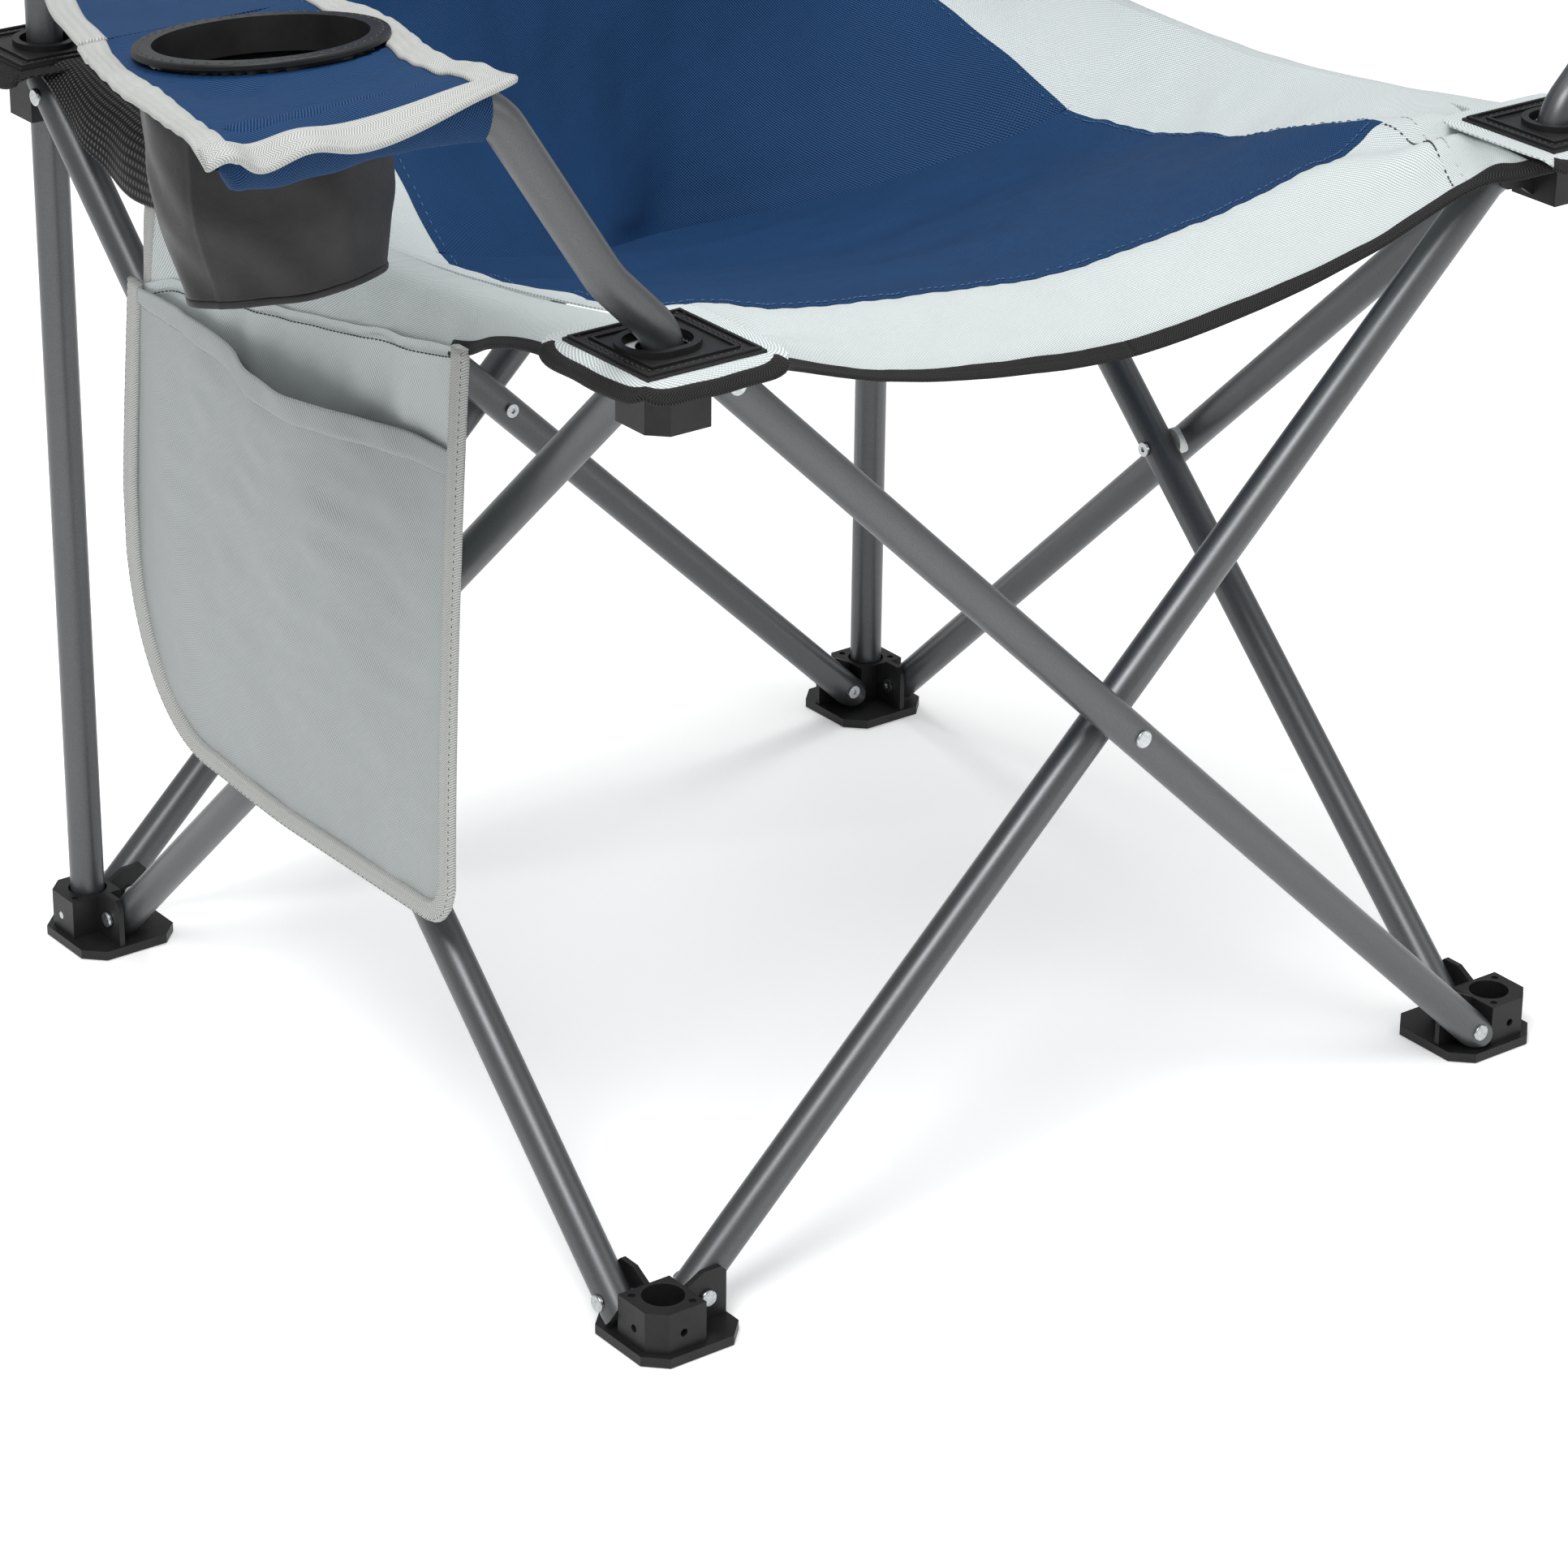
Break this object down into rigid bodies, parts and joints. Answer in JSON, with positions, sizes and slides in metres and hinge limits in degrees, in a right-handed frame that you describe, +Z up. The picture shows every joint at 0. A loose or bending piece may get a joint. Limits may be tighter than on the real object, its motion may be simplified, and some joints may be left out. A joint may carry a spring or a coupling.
{
  "type": "folding camp chair",
  "caption": "Folding camp chair with crossed steel tube legs, moulded feet and corner brackets, a fabric sling seat and back, armrests, a cup holder and a side pocket.",
  "frame": {"origin": "on the floor at the middle of the four feet", "axes": "+Z up, the chair faces -Y, +X to the right of someone who faces the chair's front; the cup holder is at -X"},
  "size_m": [0.98, 0.6002, 0.937],
  "materials": {
    "frame_paint": "satin dark grey powder coat",
    "black_plastic": "moulded, fine grain",
    "zinc_steel": "zinc plated",
    "white_nylon": "moulded",
    "blue_polyester": "coarse twill weave",
    "grey_polyester": "coarse twill weave",
    "black_nylon": "fine plain weave, soft sheen"
  },
  "bodies": {
    "left_post": {"foot_rear_left": "black_plastic", "upright_left": "frame_paint", "upright_cap_left": "black_plastic", "upright_pin_left": "zinc_steel", "back_sleeve_left": "grey_polyester", "back_middle": "blue_polyester", "back_side_left": "grey_polyester", "back_side_right": "grey_polyester"},
    "right_post": {"foot_rear_right": "black_plastic", "upright_right": "frame_paint", "upright_cap_right": "black_plastic", "upright_pin_right": "zinc_steel", "back_sleeve_right": "grey_polyester"},
    "front_left_foot": {"foot_front_left": "black_plastic"},
    "front_right_foot": {"foot_front_right": "black_plastic"},
    "left_slider": {"collar_rear_left": "black_plastic", "patch_rear_left": "black_plastic", "seat_corner_rear_left": "grey_polyester", "side_pocket": "grey_polyester"},
    "right_slider": {"collar_rear_right": "black_plastic", "patch_rear_right": "black_plastic", "seat_corner_rear_right": "grey_polyester"},
    "left_arm": {"bracket_front_left": "black_plastic", "arm_tube_left": "frame_paint", "arm_plug_left": "black_plastic", "patch_front_left": "black_plastic", "seat_corner_front_left": "grey_polyester", "armrest_front_left": "blue_polyester", "cup_ring": "black_plastic", "cup_pouch": "black_nylon"},
    "right_arm": {"bracket_front_right": "black_plastic", "arm_tube_right": "frame_paint", "arm_plug_right": "black_plastic", "patch_front_right": "black_plastic", "seat_corner_front_right": "grey_polyester", "armrest_front_right": "blue_polyester"},
    "left_seat": {"seat_panel_left": "blue_polyester"},
    "right_seat": {"seat_panel_right": "blue_polyester"},
    "left_strap": {"armrest_strap_left": "blue_polyester"},
    "right_strap": {"armrest_strap_right": "blue_polyester"},
    "left_inner_link": {"tube_left_inner": "frame_paint", "rivets_left_inner": "zinc_steel"},
    "left_outer_link": {"tube_left_outer": "frame_paint", "rivets_left_outer": "zinc_steel", "spacer_left": "white_nylon"},
    "back_outer_link": {"tube_back_outer": "frame_paint", "rivets_back_outer": "zinc_steel", "spacer_back": "white_nylon"},
    "back_inner_link": {"tube_back_inner": "frame_paint", "rivets_back_inner": "zinc_steel"},
    "right_outer_link": {"tube_right_outer": "frame_paint", "rivets_right_outer": "zinc_steel", "spacer_right": "white_nylon"},
    "right_inner_link": {"tube_right_inner": "frame_paint", "rivets_right_inner": "zinc_steel"},
    "front_outer_link": {"tube_front_outer": "frame_paint", "rivets_front_outer": "zinc_steel", "spacer_front": "white_nylon"},
    "front_inner_link": {"tube_front_inner": "frame_paint", "rivets_front_inner": "zinc_steel"}
  },
  "joints": [
    {"name": "fold", "type": "hinge", "parent": "left_post", "child": "left_inner_link", "pos_m": [-0.2503, 0.2371, 0.017], "axis": [-1, 0, 0], "range_deg": [0, 39], "deforming": ["seat_panel_left", "seat_panel_right", "back_middle", "back_side_left", "back_side_right", "armrest_strap_left", "armrest_strap_right", "side_pocket"]},
    {"name": "left_cross", "type": "hinge", "parent": "left_inner_link", "child": "left_outer_link", "pos_m": [-0.2503, 0, 0.24437], "axis": [1, 0, 0], "range_deg": [0, 78]},
    {"name": "front_left_foot_pivot", "type": "hinge", "parent": "left_outer_link", "child": "front_left_foot", "pos_m": [-0.2719, -0.2371, 0.017], "axis": [-1, 0, 0], "range_deg": [0, 39]},
    {"name": "left_slider_pivot", "type": "hinge", "parent": "left_outer_link", "child": "left_slider", "pos_m": [-0.2719, 0.2371, 0.47174], "axis": [-1, 0, 0], "range_deg": [0, 39]},
    {"name": "left_arm_pivot", "type": "hinge", "parent": "left_inner_link", "child": "left_arm", "pos_m": [-0.2503, -0.2371, 0.47174], "axis": [1, 0, 0], "range_deg": [0, 39]},
    {"name": "back_outer_pivot", "type": "hinge", "parent": "left_post", "child": "back_outer_link", "pos_m": [-0.2371, 0.2719, 0.017], "axis": [0, -1, 0], "range_deg": [0, 39]},
    {"name": "back_cross", "type": "hinge", "parent": "back_outer_link", "child": "back_inner_link", "pos_m": [0, 0.2719, 0.24437], "axis": [0, 1, 0], "range_deg": [0, 78]},
    {"name": "right_post_pivot", "type": "hinge", "parent": "back_inner_link", "child": "right_post", "pos_m": [0.2371, 0.2503, 0.017], "axis": [0, -1, 0], "range_deg": [0, 39]},
    {"name": "right_slider_pivot", "type": "hinge", "parent": "back_outer_link", "child": "right_slider", "pos_m": [0.2371, 0.2719, 0.47174], "axis": [0, 1, 0], "range_deg": [0, 39]},
    {"name": "front_inner_pivot", "type": "hinge", "parent": "front_left_foot", "child": "front_inner_link", "pos_m": [-0.2371, -0.2503, 0.017], "axis": [0, -1, 0], "range_deg": [0, 39]},
    {"name": "front_cross", "type": "hinge", "parent": "front_inner_link", "child": "front_outer_link", "pos_m": [0, -0.2503, 0.24437], "axis": [0, 1, 0], "range_deg": [0, 78]},
    {"name": "front_right_foot_pivot", "type": "hinge", "parent": "front_outer_link", "child": "front_right_foot", "pos_m": [0.2371, -0.2719, 0.017], "axis": [0, -1, 0], "range_deg": [0, 39]},
    {"name": "right_arm_pivot", "type": "hinge", "parent": "front_inner_link", "child": "right_arm", "pos_m": [0.2371, -0.2503, 0.47174], "axis": [0, 1, 0], "range_deg": [0, 39]},
    {"name": "right_outer_pivot", "type": "hinge", "parent": "right_post", "child": "right_outer_link", "pos_m": [0.2719, 0.2371, 0.017], "axis": [-1, 0, 0], "range_deg": [0, 39]},
    {"name": "right_cross", "type": "hinge", "parent": "right_outer_link", "child": "right_inner_link", "pos_m": [0.2719, 0, 0.24437], "axis": [1, 0, 0], "range_deg": [0, 78]},
    {"name": "left_seat_sag", "type": "hinge", "parent": "left_slider", "child": "left_seat", "pos_m": [-0.2611, 0.2611, 0.48324], "axis": [0, 1, 0], "range_deg": [0, 75.66]},
    {"name": "right_seat_sag", "type": "hinge", "parent": "right_slider", "child": "right_seat", "pos_m": [0.2611, 0.2611, 0.48324], "axis": [0, -1, 0], "range_deg": [0, 75.66]},
    {"name": "left_strap_fall", "type": "hinge", "parent": "left_arm", "child": "left_strap", "pos_m": [-0.367, -0.0745, 0.60131], "axis": [-1, 0, 0], "range_deg": [0, 95.94]},
    {"name": "right_strap_fall", "type": "hinge", "parent": "right_arm", "child": "right_strap", "pos_m": [0.367, -0.0745, 0.60131], "axis": [-1, 0, 0], "range_deg": [0, 95.94]}
  ],
  "couplings": [
    {"joint": "left_cross", "follows": "fold", "ratio": 2},
    {"joint": "front_left_foot_pivot", "follows": "fold", "ratio": 1},
    {"joint": "left_slider_pivot", "follows": "fold", "ratio": 1},
    {"joint": "left_arm_pivot", "follows": "fold", "ratio": 1},
    {"joint": "back_outer_pivot", "follows": "fold", "ratio": 1},
    {"joint": "back_cross", "follows": "fold", "ratio": 2},
    {"joint": "right_post_pivot", "follows": "fold", "ratio": 1},
    {"joint": "right_slider_pivot", "follows": "fold", "ratio": 1},
    {"joint": "front_inner_pivot", "follows": "fold", "ratio": 1},
    {"joint": "front_cross", "follows": "fold", "ratio": 2},
    {"joint": "front_right_foot_pivot", "follows": "fold", "ratio": 1},
    {"joint": "right_arm_pivot", "follows": "fold", "ratio": 1},
    {"joint": "right_outer_pivot", "follows": "fold", "ratio": 1},
    {"joint": "right_cross", "follows": "fold", "ratio": 2},
    {"joint": "left_seat_sag", "follows": "fold", "ratio": 1.94},
    {"joint": "right_seat_sag", "follows": "fold", "ratio": 1.94},
    {"joint": "left_strap_fall", "follows": "fold", "ratio": 2.46},
    {"joint": "right_strap_fall", "follows": "fold", "ratio": 2.46}
  ]
}
